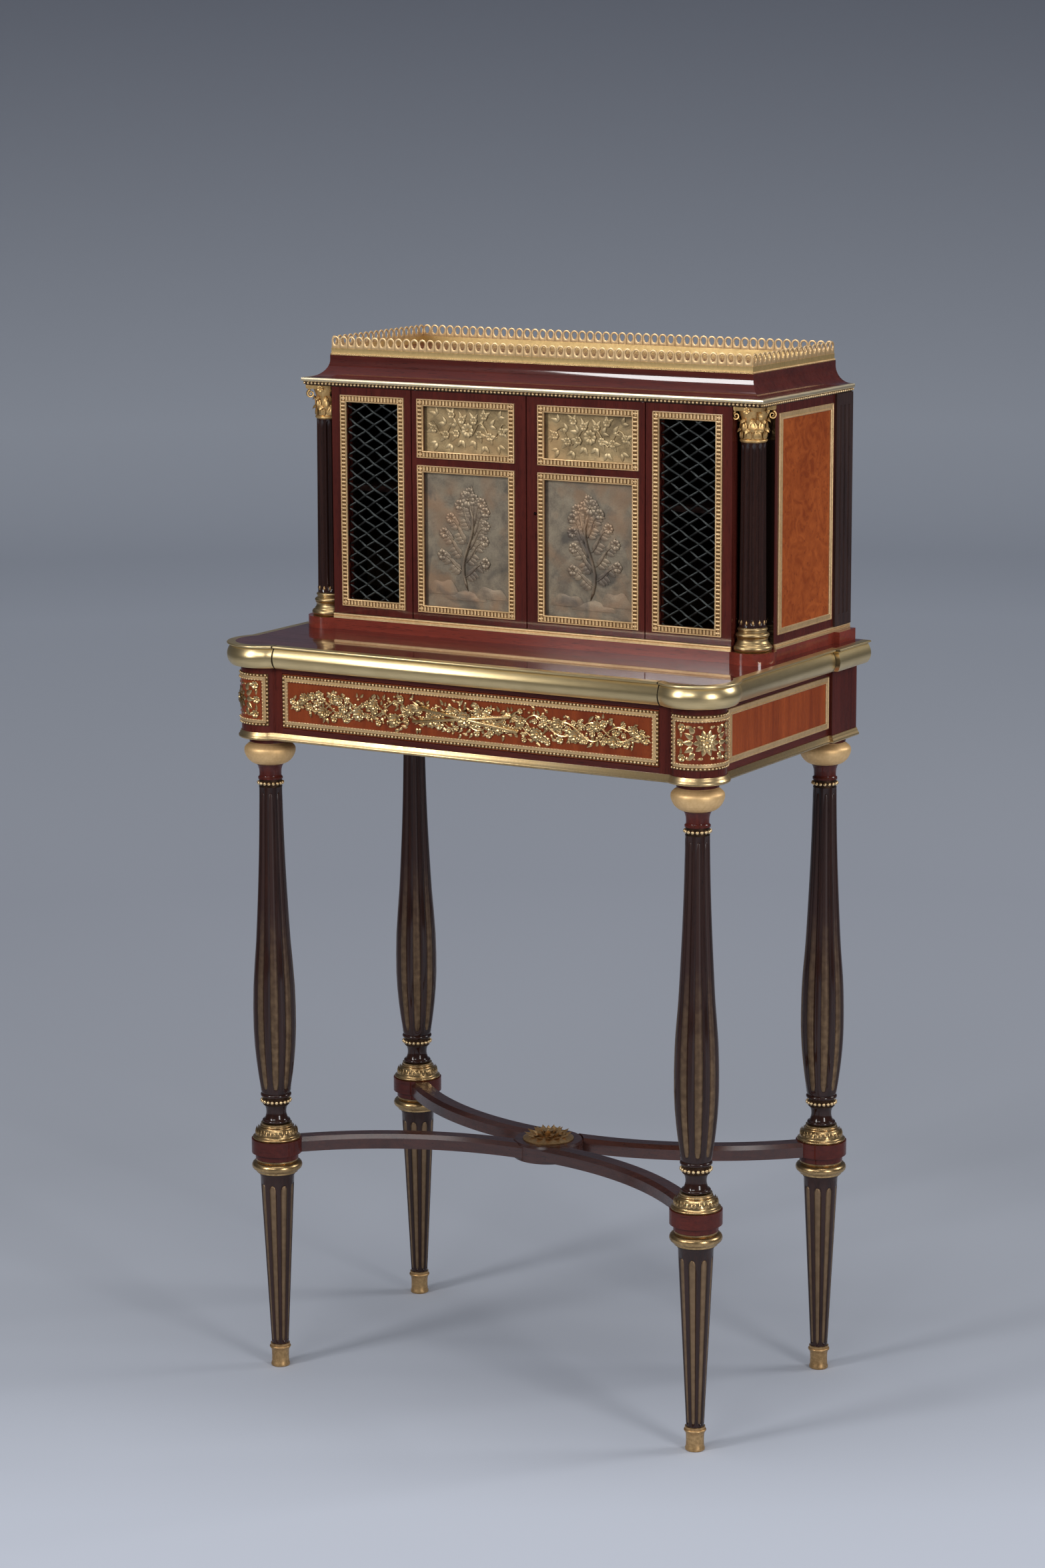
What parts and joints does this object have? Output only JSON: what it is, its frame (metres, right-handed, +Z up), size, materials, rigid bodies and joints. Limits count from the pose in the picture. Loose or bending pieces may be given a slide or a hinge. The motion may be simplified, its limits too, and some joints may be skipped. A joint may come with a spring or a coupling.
{
  "type": "bonheur du jour writing desk",
  "caption": "Small lady's writing desk on turned fluted legs with an X stretcher, a frieze drawer, and a cabinet with grille doors and panelled doors under a pierced gallery.",
  "frame": {"origin": "on the floor, under the middle of the desk's overall width and depth", "axes": "+X to the right of a person facing the drawer, +Y to the wall behind, +Z up"},
  "size_m": [0.585, 0.3469, 1.0836],
  "materials": {
    "mahogany": "polished",
    "dark_mahogany": "polished",
    "satinwood": "polished",
    "oak": "waxed",
    "gilt_bronze": "matt gilt",
    "polished_brass": "polished",
    "silvered_plaque": "worn gilt and silvered",
    "steel": "dull"
  },
  "bodies": {
    "root": {"sabots": "gilt_bronze", "leg_feet": "dark_mahogany", "leg_rings": "gilt_bronze", "leg_collars": "gilt_bronze", "leg_buns": "gilt_bronze", "leg_spools": "mahogany", "leg_top_necks": "mahogany", "stretcher_arms": "mahogany", "stretcher_drums": "mahogany", "stretcher_platform": "mahogany", "platform_rose": "gilt_bronze", "front_posts": "mahogany", "back_posts": "mahogany", "side_rails": "satinwood", "back_rail": "oak", "drawer_rails": "mahogany", "drawer_runners": "oak", "frieze_base_moulding": "polished_brass", "corner_mounts": "gilt_bronze", "side_frames": "gilt_bronze", "writing_top": "mahogany", "top_brass_edge": "polished_brass", "cabinet_plinth": "mahogany", "cabinet_bottom": "mahogany", "foot_strip": "polished_brass", "cabinet_back": "oak", "cabinet_sides": "mahogany", "partitions": "mahogany", "shelves": "mahogany", "cabinet_cap": "mahogany", "pilasters": "mahogany", "column_bases": "gilt_bronze", "column_shafts": "dark_mahogany", "column_capitals": "gilt_bronze", "cornice_moulding": "gilt_bronze", "cornice_cove": "mahogany", "gallery": "gilt_bronze", "door_pivot_pins": "steel", "leg_stem_front_left": "dark_mahogany", "leg_stem_front_right": "dark_mahogany", "leg_stem_back_left": "dark_mahogany", "leg_stem_back_right": "dark_mahogany"},
    "drawer": {"drawer_front": "satinwood", "drawer_sides": "oak", "drawer_back": "oak", "drawer_bottom": "oak", "drawer_moulding": "gilt_bronze", "drawer_festoon": "gilt_bronze", "drawer_lock": "polished_brass"},
    "left_wire_door": {"left_wire_door_frame": "mahogany", "left_wire_door_grille": "gilt_bronze"},
    "left_panel_door": {"left_panel_door_frame": "mahogany", "left_panel_door_mouldings": "gilt_bronze", "left_panel_door_plaques": "silvered_plaque"},
    "right_panel_door": {"right_panel_door_frame": "mahogany", "right_panel_door_mouldings": "gilt_bronze", "right_panel_door_plaques": "silvered_plaque", "door_lock": "polished_brass"},
    "right_wire_door": {"right_wire_door_frame": "mahogany", "right_wire_door_grille": "gilt_bronze"}
  },
  "joints": [
    {"name": "drawer_slide", "type": "slide", "parent": "root", "child": "drawer", "axis": [0, -1, 0], "range_m": [0, 0.18]},
    {"name": "left_wire_door_hinge", "type": "hinge", "parent": "root", "child": "left_wire_door", "pos_m": [-0.2303, -0.0295, 0.9153], "axis": [0, 0, -1], "range_deg": [0, 90]},
    {"name": "left_panel_door_hinge", "type": "hinge", "parent": "root", "child": "left_panel_door", "pos_m": [-0.1328, -0.0295, 0.9153], "axis": [0, 0, -1], "range_deg": [0, 90]},
    {"name": "right_panel_door_hinge", "type": "hinge", "parent": "root", "child": "right_panel_door", "pos_m": [0.1328, -0.0295, 0.9153], "axis": [0, 0, 1], "range_deg": [0, 90]},
    {"name": "right_wire_door_hinge", "type": "hinge", "parent": "root", "child": "right_wire_door", "pos_m": [0.2303, -0.0295, 0.9153], "axis": [0, 0, 1], "range_deg": [0, 90]}
  ]
}
